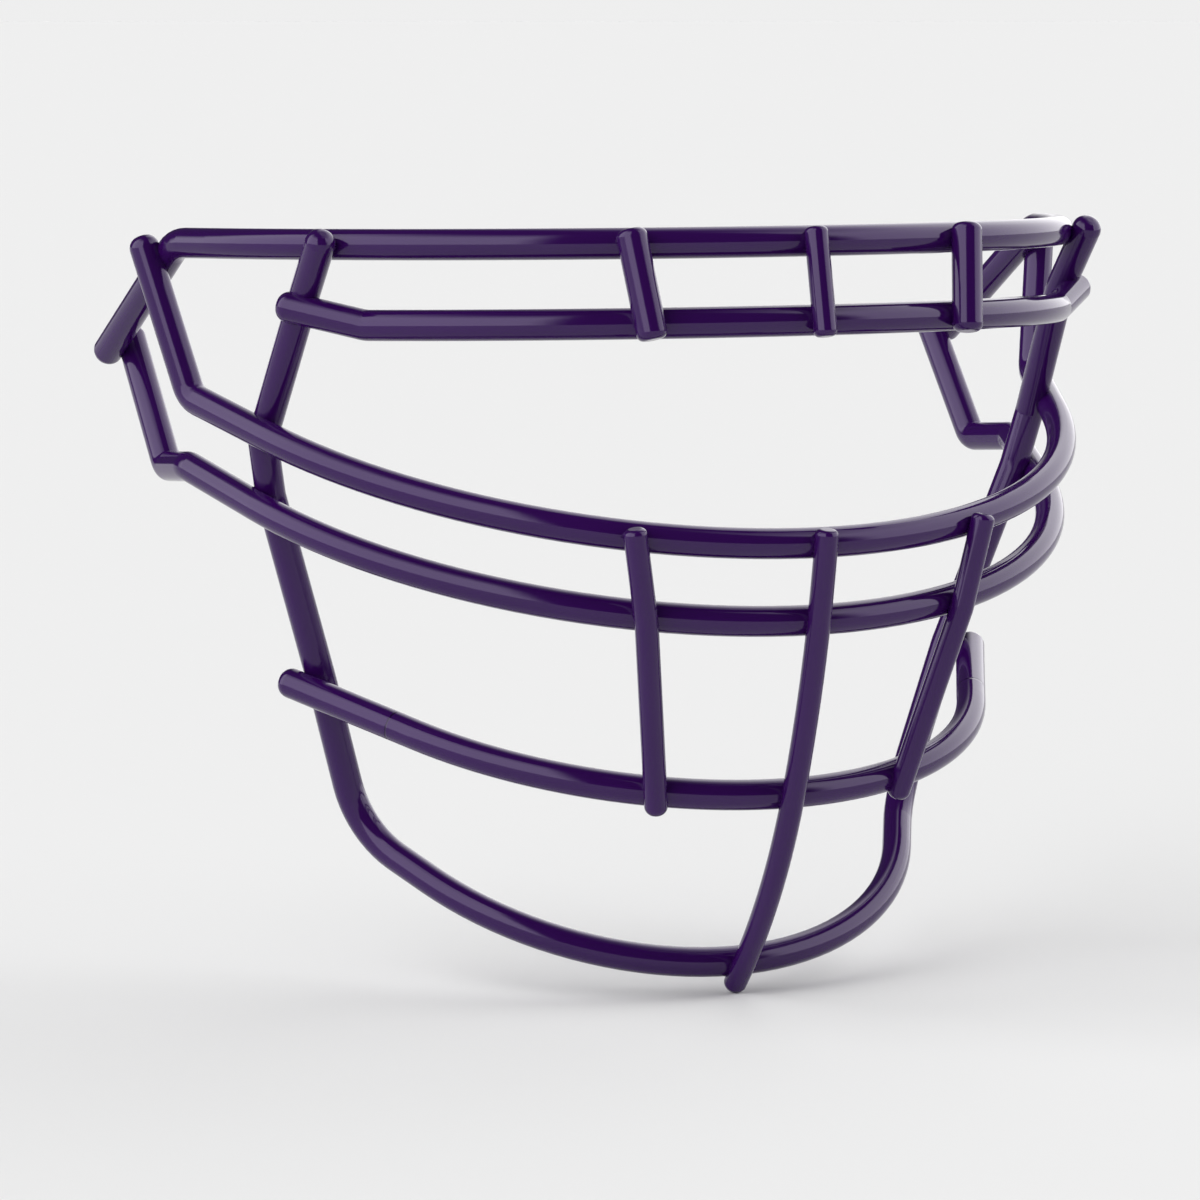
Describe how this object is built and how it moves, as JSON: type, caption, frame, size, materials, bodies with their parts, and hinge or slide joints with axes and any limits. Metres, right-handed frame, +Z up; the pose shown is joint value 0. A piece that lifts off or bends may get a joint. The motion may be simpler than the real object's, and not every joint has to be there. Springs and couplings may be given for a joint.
{
  "type": "football helmet facemask",
  "caption": "Open wire cage of round coated steel bars that guards the face and clips to the front of a football helmet.",
  "frame": {"origin": "middle of the brow bar's centre line, on the mask's mid plane", "axes": "+X to the right when the mask is seen from the front, that is to the wearer's left; +Y to the back, towards the helmet; +Z up"},
  "size_m": [0.2446, 0.1529, 0.1787],
  "materials": {
    "coated_steel": "high gloss deep purple powder coat"
  },
  "bodies": {
    "root": {"brow_bar": "coated_steel", "visor_bar": "coated_steel", "nose_bar": "coated_steel", "jaw_bar": "coated_steel", "chin_bar": "coated_steel", "side_frame": "coated_steel", "brow_strut_left": "coated_steel", "brow_strut_centre": "coated_steel", "brow_strut_right": "coated_steel", "side_strut_left": "coated_steel", "centre_strut": "coated_steel", "side_strut_right": "coated_steel", "brow_frame_welds": "coated_steel", "brow_nose_welds": "coated_steel", "brow_jaw_welds": "coated_steel", "brow_strut_welds": "coated_steel", "visor_strut_welds": "coated_steel", "visor_frame_welds": "coated_steel", "nose_frame_welds": "coated_steel", "jaw_frame_welds": "coated_steel", "chin_frame_welds": "coated_steel", "nose_strut_welds": "coated_steel", "jaw_strut_welds": "coated_steel", "chin_strut_welds": "coated_steel", "centre_strut_foot_weld": "coated_steel"}
  },
  "joints": []
}
